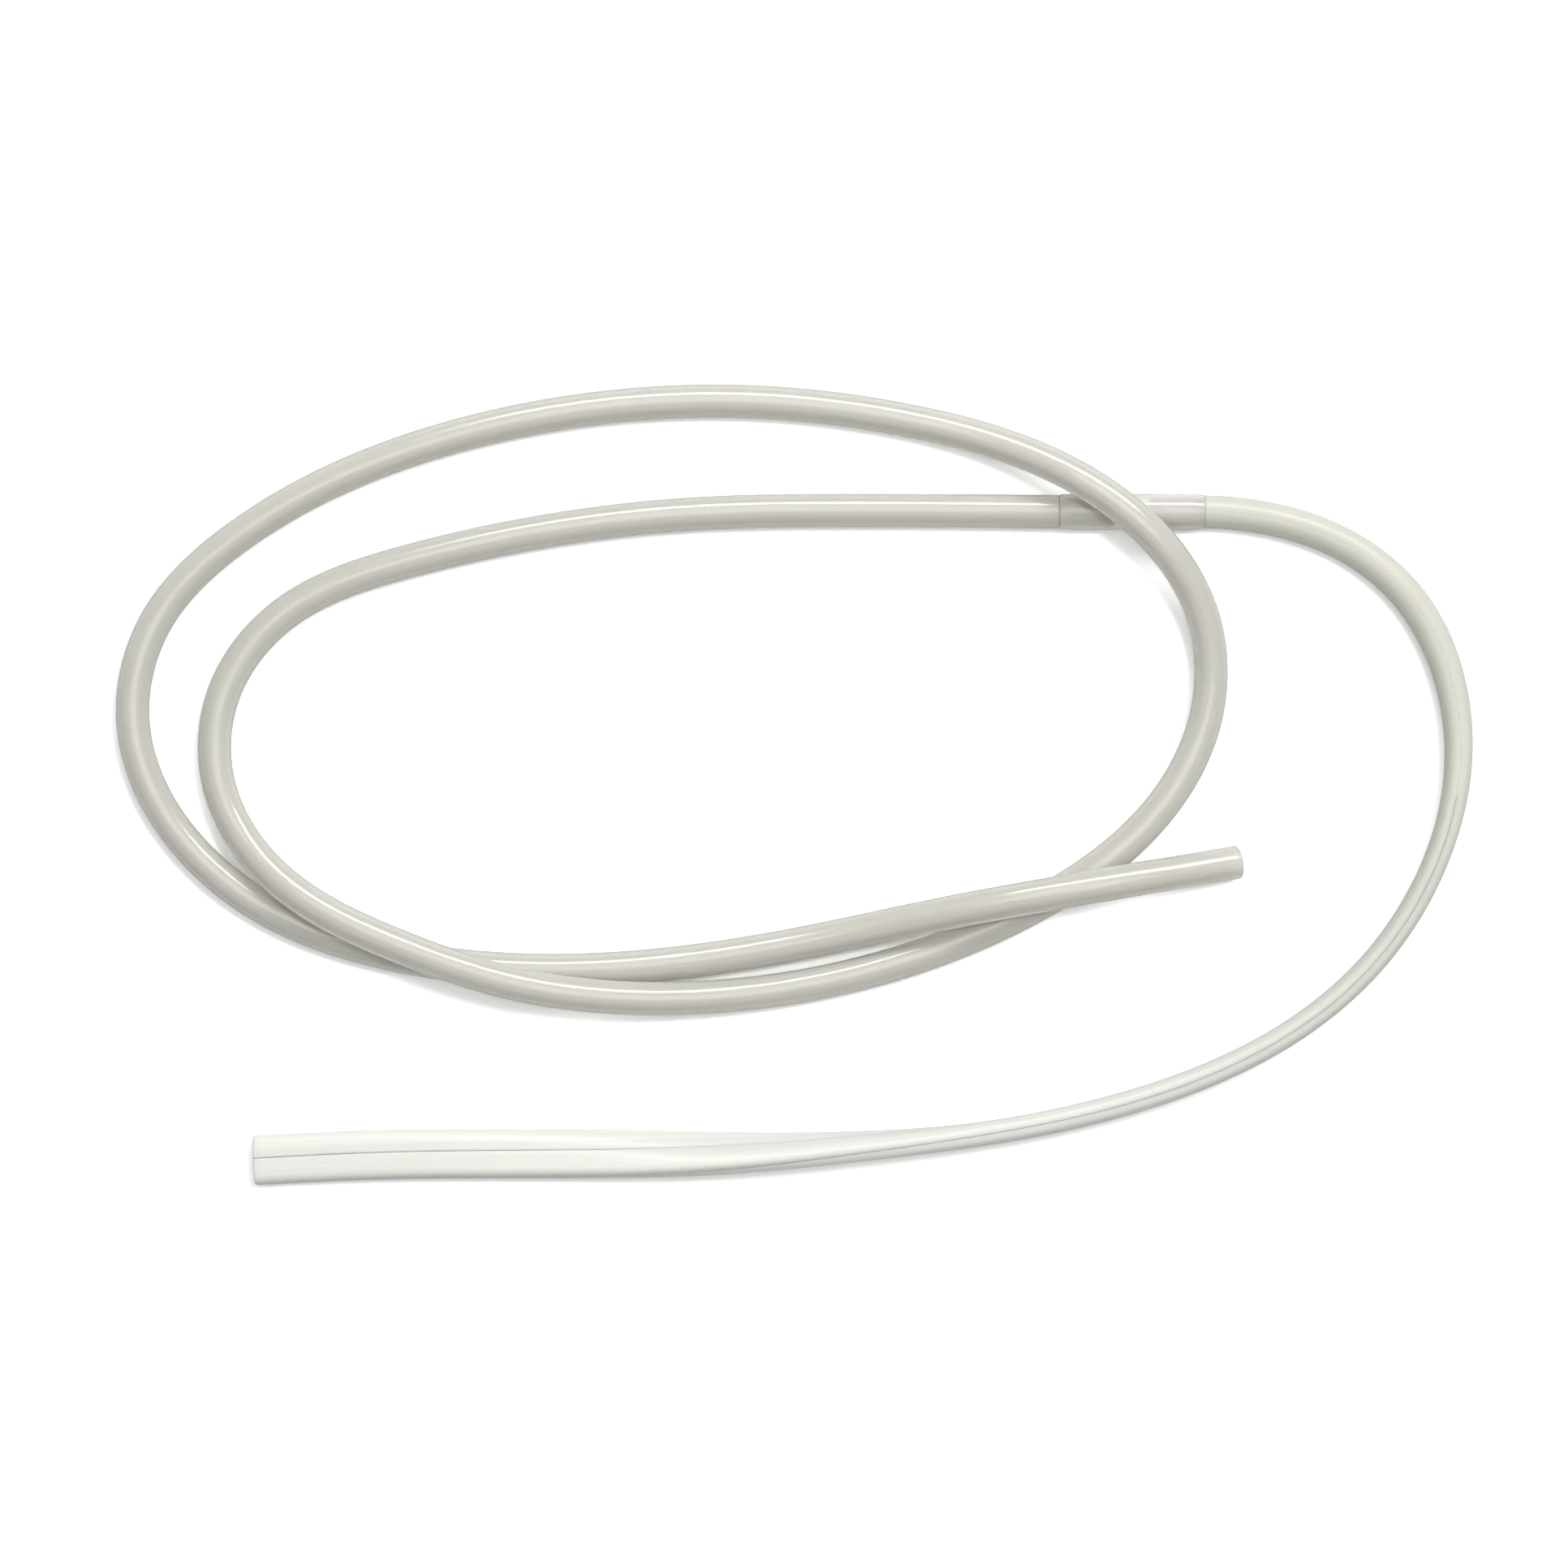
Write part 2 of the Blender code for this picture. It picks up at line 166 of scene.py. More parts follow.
class StageSettings(PropertyGroup):
    camera_height: length_property("Camera height", "Height of the lens above the floor", 1.0)
    camera_x: FloatProperty(
        name="Camera X", description="Place of the camera across", default=-0.00138, unit="LENGTH"
    )
    camera_y: FloatProperty(
        name="Camera Y", description="Place of the camera along", default=0.00026, unit="LENGTH"
    )
    lens: FloatProperty(name="Lens", description="Focal length in millimetres", default=154.9)
    floor_size: length_property("Floor size", "Side of the square floor", 6.0)
    floor_color: color_property("Floor colour", "Colour of the floor", (0.6, 0.6, 0.6))
    floor_seen: FloatVectorProperty(
        name="Floor as seen", description="Colour that the camera sees the floor in", subtype="COLOR",
        default=(1.45, 1.45, 1.45), min=0, soft_max=1,
    )
    floor_through: color_property(
        "Floor seen through", "Colour of the floor through the silicone", (0.95, 0.95, 0.95)
    )
    floor_glow: FloatProperty(
        name="Floor glow", description="Light that the camera sees the floor give off", default=0.1
    )
    floor_glow_through: FloatProperty(
        name="Floor glow through", description="The same light seen through silicone", default=0.15
    )
    sky_low: FloatProperty(name="Sky low", description="Light from the horizon", default=0.06)
    sky_high: FloatProperty(name="Sky high", description="Light from overhead", default=0.56)
    overhead: power_property("Overhead lamp", "Power of the lamp overhead", 2.6)
    overhead_place: place_property("Overhead place", "Place of that lamp", (0.12, 0.2, 1.2))
    overhead_size: size_property("Overhead size", "Sides of that lamp", (0.9, 0.7))
    softbox: power_property("Softbox", "Power of the softbox behind", 13.0)
    softbox_place: place_property("Softbox place", "Place of the softbox", (0.3, 1.15, 0.95))
    softbox_size: size_property("Softbox size", "Sides of the softbox", (1.5, 0.38))
    key: power_property("Key lamp", "Power of the small lamp that shapes the tube", 3.4)
    key_place: place_property("Key place", "Place of the key lamp", (0.32, 0.2, 1.17))
    key_size: size_property("Key size", "Sides of the key lamp", (0.15, 0.15))


class TubeSettings(PropertyGroup):
    diameter: length_property("Diameter", "Outside diameter of the tube", 5.0 * MM)
    bore: length_property("Bore", "Diameter of the hole through the tube", 3.2 * MM)
    step: length_property("Step", "Distance between rings of the surface", 1.3 * MM)
    rounding: length_property("Rounding", "Radius of the cut end's edges", 0.12 * MM)
    sides: IntProperty(name="Sides", description="Faces round the outside", default=56, min=8)
    color: color_property("Silicone", "Colour of the silicone", (0.96, 0.95, 0.89))
    streak: color_property("Streaks", "Colour of the lines along the piece", (0.91, 0.9, 0.83))
    bending: FloatProperty(name="Bending", description="Index of refraction", default=1.41, min=1)
    clearness: share_property("Clearness", "How much light goes straight through", 0.55)
    scatter: share_property("Scatter", "How much light spreads inside", 0.0)
    roughness: share_property("Roughness", "Roughness of the silicone itself", 0.17)
    gloss: share_property("Gloss", "Strength of the glossy skin", 1.0)
    gloss_roughness: share_property("Gloss roughness", "Roughness of the skin", 0.12)


class BoreSettings(PropertyGroup):
    color: color_property("Silicone", "Colour of the bore's wall", (1.0, 0.985, 0.93))
    streak: color_property("Streaks", "Colour of the lines along the bore", (0.92, 0.9, 0.81))
    bending: FloatProperty(name="Bending", description="Index of refraction", default=1.22, min=1)
    clearness: share_property("Clearness", "How much light goes straight through", 0.2)
    scatter: share_property("Scatter", "How much light spreads inside", 0.0)
    roughness: share_property("Roughness", "Roughness of the silicone itself", 0.3)
    gloss: share_property("Gloss", "Strength of the glossy skin", 1.0)
    gloss_roughness: share_property("Gloss roughness", "Roughness of the skin", 0.15)


class CollarSettings(PropertyGroup):
    x: FloatProperty(
        name="X", description="Place of the collar's middle", default=50.0 * MM, unit="LENGTH"
    )
    y: FloatProperty(
        name="Y", description="Place of the collar's middle", default=40.5 * MM, unit="LENGTH"
    )
    length: length_property("Length", "Length of the collar", 21.4 * MM)
    wall: length_property("Wall", "Wall round each socket", 0.4 * MM)
    socket: length_property("Socket", "Depth of each socket", 8.0 * MM)
    lip_length: length_property("Lip length", "Length of the tapered lip", 2.1 * MM)
    lip_drop: length_property("Lip drop", "How much thinner the lip is", 0.15 * MM)
    neck_wall: length_property("Neck wall", "Wall of the necks in the sockets", 0.67 * MM)
    fit_gap: length_property("Fit gap", "Clearance round each neck", 0.03 * MM)
    chamfer: length_property("Chamfer", "Chamfer at each neck's shoulder", 0.12 * MM)
    sides: IntProperty(name="Sides", description="Faces round the collar", default=64, min=8)
    bending: FloatProperty(name="Bending", description="Index of refraction", default=1.22, min=1)
    color: color_property("Silicone", "Colour of the silicone", (1.0, 0.985, 0.95))
    streak: color_property("Streaks", "Colour of the lines along the piece", (0.97, 0.955, 0.91))
    tube_color: color_property("Tube end", "Colour over the tube's neck", (0.99, 0.98, 0.92))
    fade: size_property("Fade", "Where the tube end's colour ends", (47.0 * MM, 53.0 * MM))
    clearness: share_property("Clearness", "How much light goes straight through", 0.6)
    scatter: share_property("Scatter", "How much light spreads inside", 0.0)
    roughness: share_property("Roughness", "Roughness of the silicone itself", 0.17)
    gloss: share_property("Gloss", "Strength of the glossy skin", 1.0)
    gloss_roughness: share_property("Gloss roughness", "Roughness of the skin", 0.12)


class DrainSettings(PropertyGroup):
    shank: length_property("Shank", "Diameter of the round shank", 4.9 * MM)
    shank_web: length_property("Shank web", "Webs between the channels in the shank", 0.7 * MM)
    shank_end: length_property("Shank end", "Distance to the end of the round shank", 33.0 * MM)
    slit_start: length_property("Slit start", "Distance to where the slits open", 65.0 * MM)
    flat_start: length_property("Flat start", "Distance to the full flat profile", 78.0 * MM)
    width: length_property("Width", "Width of the flat profile", 7.3 * MM)
    thickness: length_property("Thickness", "Thickness of the flat profile", 3.5 * MM)
    wall: length_property("Wall", "Wall over the channels", 0.7 * MM)
    web: length_property("Web", "Webs between the channels", 0.8 * MM)
    slit: length_property("Slit", "Width of each slit", 0.04 * MM)
    slit_ramp: length_property("Slit ramp", "Length over which a slit widens", 170.0 * MM)
    slit_least: share_property("Slit at start", "Share of its width that a slit starts with", 0.2)
    edge: length_property("Slit edge", "Rounding of the slits' edges", 0.26 * MM)
    rounding: length_property("Rounding", "Radius of the cut end's edges", 0.3 * MM)
    step: length_property("Step", "Distance between sections of the surface", 1.2 * MM)
    squareness: FloatProperty(
        name="Squareness", description="Power of the flat profile's oval", default=3.2, min=2
    )
    color: color_property("Silicone", "Colour of the silicone", (0.86, 0.85, 0.8))
    streak: color_property("Streaks", "Colour of the lines along the piece", (0.79, 0.78, 0.72))
    shank_color: color_property("Shank colour", "Colour of the round shank", (0.67, 0.665, 0.6))
    fade: size_property("Fade", "Where the shank's colour ends", (40.0 * MM, 170.0 * MM))
    bending: FloatProperty(name="Bending", description="Index of refraction", default=1.41, min=1)
    clearness: share_property("Clearness", "How much light goes straight through", 0.0)
    scatter: share_property("Scatter", "How much light spreads inside", 1.0)
    roughness: share_property("Roughness", "Roughness of the silicone itself", 0.4)
    gloss: share_property("Gloss", "Strength of the glossy skin", 0.4)
    gloss_roughness: share_property("Gloss roughness", "Roughness of the skin", 0.25)


def settings():
    """Values of the stage, the tube, the collar and the drain section."""
    scene = bpy.context.scene
    return scene.drain_stage, scene.drain_tube, scene.drain_collar, scene.drain_section


def neck_radius():
    _, tube, collar, _ = settings()
    return tube.bore / 2 + collar.neck_wall


def socket_radius():
    return neck_radius() + settings()[2].fit_gap


def collar_radius():
    return socket_radius() + settings()[2].wall


def shoulder():
    """Distance from the collar's face to where the full section begins."""
    collar = settings()[2]
    return collar.fit_gap + collar.chamfer


def neck_length():
    collar = settings()[2]
    return collar.socket - collar.fit_gap


# Routes and heights


def distances(line):
    """How far along a line of points each of them is."""
    return np.concatenate([[0.0], np.cumsum(np.linalg.norm(np.diff(line, axis=0), axis=1))])


def smooth_route(points, start_slope):
    """Close samples of the cubic spline that leaves the first point at start_slope and ends unbent."""
    points = np.array(points, float)
    knots = distances(points[:, :2])
    span = np.diff(knots)
    slope = np.diff(points, axis=0) / span[:, None]
    last = len(points) - 1
    matrix = np.zeros((last + 1, last + 1))
    right = np.zeros_like(points)
    matrix[0, :2] = 2 * span[0], span[0]
    right[0] = 6 * (slope[0] - start_slope)
    for i in range(1, last):
        matrix[i, i - 1 : i + 2] = span[i - 1], 2 * (span[i - 1] + span[i]), span[i]
        right[i] = 6 * (slope[i] - slope[i - 1])
    matrix[last, last] = 1
    bend = np.linalg.solve(matrix, right)
    place = np.linspace(0, knots[-1], round(knots[-1] / SAMPLE_STEP) + 1)
    i = np.clip(np.searchsorted(knots, place, side="right") - 1, 0, last - 1)
    before = (place - knots[i])[:, None]
    after = (knots[i + 1] - place)[:, None]
    wide = span[i][:, None]
    curved = (bend[i] * after**3 + bend[i + 1] * before**3) / (6 * wide)
    start = (points[i] / wide - bend[i] * wide / 6) * after
    end = (points[i + 1] / wide - bend[i + 1] * wide / 6) * before
    return curved + start + end


def route_from_collar(points, direction):
    """A route that starts at the shoulder just outside the collar and leaves along its axis."""
    collar = settings()[2]
    extra = len(points[0]) - 2
    start = [collar.x + direction * (collar.length / 2 + shoulder()), collar.y]
    rows = [[*start, *points[0][2:]]]
    rows += [[x * MM, y * MM, *rest] for x, y, *rest in points]
    return smooth_route(rows, np.array([direction, 0.0] + [0.0] * extra))


def part_of(along, stretch):
    """Which samples of a line lie inside a stretch of it."""
    return (along > stretch[0]) & (along < stretch[1])


def height_over(over, under, under_height, reach):
    """Lowest centre height at which each point of one strand clears another strand below it."""
    apart = np.linalg.norm(over[:, None] - under[None], axis=2)
    rise = np.sqrt(np.maximum(reach**2 - apart**2, 0))
    return np.where(apart < reach, under_height + rise, 0).max(axis=1)


def eased(line, least):
    """The heights of a strand that comes down from its crossings in long low humps."""
    along = distances(line)
    drop = (along[:, None] - along[None]) ** 2 / (2 * HUMP_RADIUS)
    least = (least[None] - drop).max(axis=1)
    height = least
    for _ in range(EASING_ROUNDS):
        level = height.copy()
        level[1:-1] = (height[:-2] + 2 * height[1:-1] + height[2:]) / 4
        height = np.maximum(level, least)
    return height


def tube_heights(tube, drain):
    """Centre heights of the tube's samples, lying on the floor and over the strands that it crosses."""
    _, sizes, collar, _ = settings()
    radius = sizes.diameter / 2
    along = distances(tube)
    least = np.full(len(tube), radius)
    least[0] = collar_radius()
    joint = np.concatenate([
        tube[along < collar.length],
        np.linspace(tube[0], drain[0], round(collar.length / SAMPLE_STEP)),
        drain[distances(drain) < collar.length],
    ])
    loop = part_of(along, LOOP_OVER_COLLAR)
    joint_reach = radius + collar_radius() + STRAND_GAP
    least[loop] = np.maximum(
        least[loop], height_over(tube[loop], joint, collar_radius(), joint_reach)
    )
    height = eased(tube, least)
    passes = [(FIRST_PASS_OVER, SECOND_PASS_UNDER), (SECOND_PASS_OVER, FIRST_PASS_UNDER)]
    for over, under in CROSSING_ROUNDS * passes:
        above = part_of(along, over)
        below = part_of(along, under)
        strands = sizes.diameter + STRAND_GAP
        needed = height_over(tube[above], tube[below], height[below], strands)
        least[above] = np.maximum(least[above], needed)
        height = eased(tube, least)
    return height


def stations(line, step):
    """Even places along a line, and the frame of axes at each."""
    along = distances(line)
    tangent = np.gradient(line, along, axis=0)
    place = np.linspace(0, along[-1], round(along[-1] / step) + 1)
    centre = np.stack([np.interp(place, along, line[:, k]) for k in range(3)], 1)
    ahead = np.stack([np.interp(place, along, tangent[:, k]) for k in range(3)], 1)
    ahead[0] = [np.sign(ahead[0, 0]), 0, 0]
    ahead /= np.linalg.norm(ahead, axis=1)[:, None]
    side = np.cross(ahead, [0, 0, 1])
    side /= np.linalg.norm(side, axis=1)[:, None]
    return place, centre, ahead, side, np.cross(side, ahead)


# Meshes


class Surface:
    """Vertices with their place in the material's own grain, and the faces between them."""

    def __init__(self):
        self.points = []
        self.grain = []
        self.faces = []

    def loop(self, points, grain):
        """Adds points and gives back their numbers."""
        first = len(self.points)
        self.points += [tuple(point) for point in points]
        self.grain += [tuple(place) for place in grain]
        return list(range(first, first + len(points)))

    def skin(self, loops):
        """Joins each closed loop to the next one."""
        for near, far in zip(loops, loops[1:]):
            for k in range(len(near)):
                self.faces.append((near[k - 1], near[k], far[k], far[k - 1]))

    def cap(self, loops):
        """Fills a flat outline, in which further loops are holes."""
        order = [index for loop in loops for index in loop]
        outline = [[Vector(self.points[index]) for index in loop] for loop in loops]
        for corners in tessellate_polygon(outline):
            self.faces.append(tuple(order[k] for k in corners))

    def finish(self, name, material):
        """Makes the object, with faces that point outwards and no loose points."""
        mesh = bpy.data.meshes.new(name)
        mesh.from_pydata(self.points, [], self.faces)
        grain = mesh.attributes.new("grain", "FLOAT_VECTOR", "POINT")
        grain.data.foreach_set("vector", np.array(self.grain, np.float32).ravel())
        obj = bpy.data.objects.new(name, mesh)
        bpy.context.scene.collection.objects.link(obj)
        select_only(obj)
        bpy.ops.object.mode_set(mode="EDIT")
        bpy.ops.mesh.select_all(action="SELECT")
        bpy.ops.mesh.delete_loose()
        bpy.ops.mesh.select_all(action="SELECT")
        bpy.ops.mesh.normals_make_consistent(inside=False)
        bpy.ops.object.mode_set(mode="OBJECT")
        bpy.ops.object.shade_smooth_by_angle(angle=SMOOTH_ANGLE)
        mesh.materials.append(material)
        return obj


def select_only(obj):
    bpy.ops.object.select_all(action="DESELECT")
    obj.select_set(True)
    bpy.context.view_layer.objects.active = obj


def edge_steps(rounding):
    """How far the steps of a rounded edge stay back from one face and in from the other."""
    turns = np.linspace(0, np.pi / 2, EDGE_POINTS)
    return [(rounding * (1 - np.sin(turn)), rounding * (1 - np.cos(turn))) for turn in turns]


def circle(centre, side, up, radius, sides):
    turn = np.arange(sides) * 2 * np.pi / sides
    return centre + radius * (np.outer(np.cos(turn), side) + np.outer(np.sin(turn), up))


def circle_grain(place, radius, sides):
    turn = np.arange(sides) * 2 * np.pi / sides
    return np.column_stack([radius * np.cos(turn), radius * np.sin(turn), np.full(sides, place)])


# Materials


def new_material(name):
    material = bpy.data.materials.new(name)
    material.use_nodes = True
    nodes = material.node_tree.nodes
    return material, nodes, material.node_tree.links, nodes["Principled BSDF"]


def drawn_noise(nodes, links, vector, along, scale, detail):
    """Noise that is drawn out along Z, which is the extrusion's own direction on the tube and drain."""
    mapping = nodes.new("ShaderNodeMapping")
    mapping.inputs["Scale"].default_value = (1, 1, along)
    links.new(vector, mapping.inputs["Vector"])
    texture = nodes.new("ShaderNodeTexNoise")
    texture.inputs["Scale"].default_value = scale
    texture.inputs["Detail"].default_value = detail
    links.new(mapping.outputs["Vector"], texture.inputs["Vector"])
    return texture.outputs["Fac"]


def ranged(nodes, links, source, low, high):
    """Noise spread over the values from low to high."""
    spread = nodes.new("ShaderNodeMapRange")
    spread.inputs["From Min"].default_value = NOISE_LOW
    spread.inputs["From Max"].default_value = NOISE_HIGH
    spread.inputs["To Min"].default_value = low
    spread.inputs["To Max"].default_value = high
    links.new(source, spread.inputs["Value"])
    return spread.outputs["Result"]


def blended(nodes, links, factor, first, second):
    mix = nodes.new("ShaderNodeMix")
    mix.data_type = "RGBA"
    mix.inputs["A"].default_value = (*first, 1)
    mix.inputs["B"].default_value = (*second, 1)
    links.new(factor, mix.inputs["Factor"])
    return mix.outputs["Result"]


def raise_lines(nodes, links, shader, height):
    """Raises fine lines on the skin."""
    node = nodes.new("ShaderNodeBump")
    node.inputs["Distance"].default_value = LINE_DEPTH
    node.inputs["Strength"].default_value = LINE_STRENGTH
    links.new(height, node.inputs["Height"])
    links.new(node.outputs["Normal"], shader.inputs["Normal"])


def faded(nodes, links, place, span, near, tint):
    """The colour near at a piece's start, changing into its tint over a span of places."""
    share = nodes.new("ShaderNodeMapRange")
    share.interpolation_type = "SMOOTHSTEP"
    share.inputs["From Min"].default_value, share.inputs["From Max"].default_value = span
    links.new(place, share.inputs["Value"])
    mixed = blended(nodes, links, share.outputs["Result"], near, near)
    links.new(tint, mixed.node.inputs["B"])
    return mixed


def silicone(name, look, source_kind, near=None):
    """Silicone with faint streaks, fine raised lines and handling marks in its roughness."""
    material, nodes, links, shader = new_material(name)
    if source_kind == "grain":
        source = nodes.new("ShaderNodeAttribute")
        source.attribute_name = "grain"
        vector = source.outputs["Vector"]
    else:
        vector = nodes.new("ShaderNodeTexCoord").outputs["Object"]
    streaks = drawn_noise(nodes, links, vector, **STREAKS)
    tint = blended(nodes, links, ranged(nodes, links, streaks, 0, 1), look.color, look.streak)
    if near:
        parts = nodes.new("ShaderNodeSeparateXYZ")
        links.new(vector, parts.inputs["Vector"])
        place = parts.outputs["Z" if source_kind == "grain" else "X"]
        tint = faded(nodes, links, place, look.fade, near, tint)
    links.new(tint, shader.inputs["Base Color"])
    marks = drawn_noise(nodes, links, vector, **HANDLING_MARKS)
    smoothest, roughest = look.roughness - SMOOTHER_BY, look.roughness + ROUGHER_BY
    links.new(ranged(nodes, links, marks, smoothest, roughest), shader.inputs["Roughness"])
    raise_lines(nodes, links, shader, drawn_noise(nodes, links, vector, **FINE_LINES))
    shader.inputs["IOR"].default_value = look.bending
    shader.inputs["Transmission Weight"].default_value = look.clearness
    shader.inputs["Subsurface Weight"].default_value = look.scatter
    shader.inputs["Subsurface Radius"].default_value = SCATTER_COLOR
    shader.inputs["Subsurface Scale"].default_value = SCATTER_DEPTH
    shader.inputs["Coat Weight"].default_value = look.gloss
    shader.inputs["Coat Roughness"].default_value = look.gloss_roughness
    return material


def floor_material(stage):
    """A pale floor that the camera sees as white, apart from the shadow on it."""
    material, nodes, links, shader = new_material("studio floor")
    nodes.remove(shader)
    diffuse = nodes.new("ShaderNodeBsdfDiffuse")
    glow = nodes.new("ShaderNodeEmission")
    path = nodes.new("ShaderNodeLightPath")
    plain = blended(
        nodes, links, path.outputs["Is Transmission Ray"], stage.floor_color, stage.floor_through
    )
    as_seen = blended(nodes, links, path.outputs["Is Camera Ray"], stage.floor_color, stage.floor_seen)
    links.new(plain, as_seen.node.inputs["A"])
    links.new(as_seen, diffuse.inputs["Color"])
    strength = None
    for kind, amount in (
        ("Is Camera Ray", stage.floor_glow),
        ("Is Glossy Ray", stage.floor_glow),
        ("Is Transmission Ray", stage.floor_glow_through),
    ):
        added = nodes.new("ShaderNodeMath")
        added.operation = "MULTIPLY_ADD"
        added.inputs[1].default_value = amount
        added.inputs[2].default_value = 0
        links.new(path.outputs[kind], added.inputs[0])
        if strength:
            links.new(strength, added.inputs[2])
        strength = added.outputs["Value"]
    links.new(strength, glow.inputs["Strength"])
    both = nodes.new("ShaderNodeAddShader")
    links.new(diffuse.outputs["BSDF"], both.inputs[0])
    links.new(glow.outputs["Emission"], both.inputs[1])
    links.new(both.outputs["Shader"], nodes["Material Output"].inputs["Surface"])
    return material


def sky_world(stage):
    """Light from all round that is strongest overhead and weak along the horizon."""
    world = bpy.data.worlds.new("soft sky")
    world.use_nodes = True
    nodes = world.node_tree.nodes
    links = world.node_tree.links
    direction = nodes.new("ShaderNodeTexCoord")
    parts = nodes.new("ShaderNodeSeparateXYZ")
    links.new(direction.outputs["Generated"], parts.inputs["Vector"])
    strength = nodes.new("ShaderNodeMapRange")
    strength.inputs["To Min"].default_value = stage.sky_low
    strength.inputs["To Max"].default_value = stage.sky_high
    links.new(parts.outputs["Z"], strength.inputs["Value"])
    sky = nodes["Background"]
    sky.inputs["Color"].default_value = (1, 1, 1, 1)
    links.new(strength.outputs["Result"], sky.inputs["Strength"])
    return world


# Stage


def add_lamp(name, place, size, power):
    """A flat lamp that faces the middle of the scene."""
    bpy.ops.object.light_add(
        type="AREA", location=place, rotation=Vector(place).to_track_quat("Z", "Y").to_euler()
    )
    lamp = bpy.context.object
    lamp.name = name
    lamp.data.shape = "RECTANGLE"
    lamp.data.size, lamp.data.size_y = size
    lamp.data.energy = power
    return lamp


class DRAIN_OT_make_stage(Operator):
    """Adds the camera, the white floor, the sky, two soft lamps and a small one"""

    bl_idname = "wound_drain.make_stage"
    bl_label = "Make stage"

    def execute(self, context):
        stage = settings()[0]
        bpy.ops.object.select_all(action="DESELECT")
        bpy.ops.object.camera_add(
            location=(stage.camera_x, stage.camera_y, stage.camera_height), rotation=(0, 0, 0)
        )
        camera = context.object
        camera.name = "camera"
        camera.data.lens = stage.lens
        camera.data.clip_start = NEAREST_SEEN
        context.scene.camera = camera
        bpy.ops.mesh.primitive_plane_add(size=stage.floor_size, location=(0, 0, 0))
        floor = context.object
        floor.name = "floor"
        floor.data.materials.append(floor_material(stage))
        context.scene.world = sky_world(stage)
        add_lamp("overhead", stage.overhead_place, stage.overhead_size, stage.overhead)
        add_lamp("softbox", stage.softbox_place, stage.softbox_size, stage.softbox)
        key = add_lamp("key", stage.key_place, stage.key_size, stage.key)
        key.visible_glossy = False
        key.visible_transmission = False
        context.scene.view_settings.view_transform = "Standard"
        return {"FINISHED"}


# Pieces


class DRAIN_OT_make_tube(Operator):
    """Makes the clear extension tube with its bore, its neck in the collar and its cut end"""

    bl_idname = "wound_drain.make_tube"
    bl_label = "Make tube"

    def execute(self, context):
        _, tube, collar, _ = settings()
        drain_route = route_from_collar(DRAIN_ROUTE, 1.0)[:, :2]
        route = route_from_collar(TUBE_ROUTE, -1.0)
        line = np.column_stack([route, tube_heights(route, drain_route)])
        place, centre, ahead, side, up = stations(line, tube.step)
        radius = tube.diameter / 2
        bore = tube.bore / 2
        surface = Surface()

        def ring(at, back, size):
            middle = centre[at] - ahead[at] * back
            points = circle(middle, side[at], up[at], size, tube.sides)
            return surface.loop(points, circle_grain(place[at] - back, size, tube.sides))

        neck = neck_length() + shoulder()
        outside = [
            ring(0, neck, neck_radius()),
            ring(0, collar.chamfer, neck_radius()),
            ring(0, collar.chamfer, radius - collar.chamfer),
        ]
        outside += [ring(k, 0, radius) for k in range(len(place) - 1)]
        inside = [ring(0, neck, bore)]
        inside += [ring(k, 0, bore) for k in range(len(place) - 1)]
        for back, inset in edge_steps(tube.rounding):
            outside.append(ring(-1, back, radius - inset))
            inside.append(ring(-1, back, bore + inset))
        surface.skin(outside)
        surface.skin([outside[0], inside[0]])
        surface.skin([outside[-1], inside[-1]])
        walls = len(surface.faces)
        surface.skin(inside)
        material = silicone("clear silicone", tube, "grain")
        piece = surface.finish("clear_extension_tube", material)
        piece.data.materials.append(silicone("bore wall", context.scene.drain_bore, "grain"))
        for face in piece.data.polygons[walls:]:
            face.material_index = 1
        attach(piece, BODY)
        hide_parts("extension_tube")
        face = (collar.x - collar.length / 2, collar.y, collar_radius())
        return {"FINISHED"}


def collar_profile():
    """Places along the collar and radii, once round its wall, with rounded lips."""
    _, tube, collar, _ = settings()
    half = collar.length / 2
    stop = half - collar.socket
    lip = collar_radius() - collar.lip_drop
    nose = (lip - socket_radius()) / 2
    turns = np.linspace(-np.pi / 2, np.pi / 2, LIP_POINTS)
    rounded = [
        (half - nose + nose * math.cos(turn), socket_radius() + nose + nose * math.sin(turn))
        for turn in turns
    ]
    right = [(stop, tube.bore / 2), (stop, socket_radius()), *rounded]
    right.append((half - collar.lip_length, collar_radius()))
    return right + [(-x, radius) for x, radius in reversed(right)]


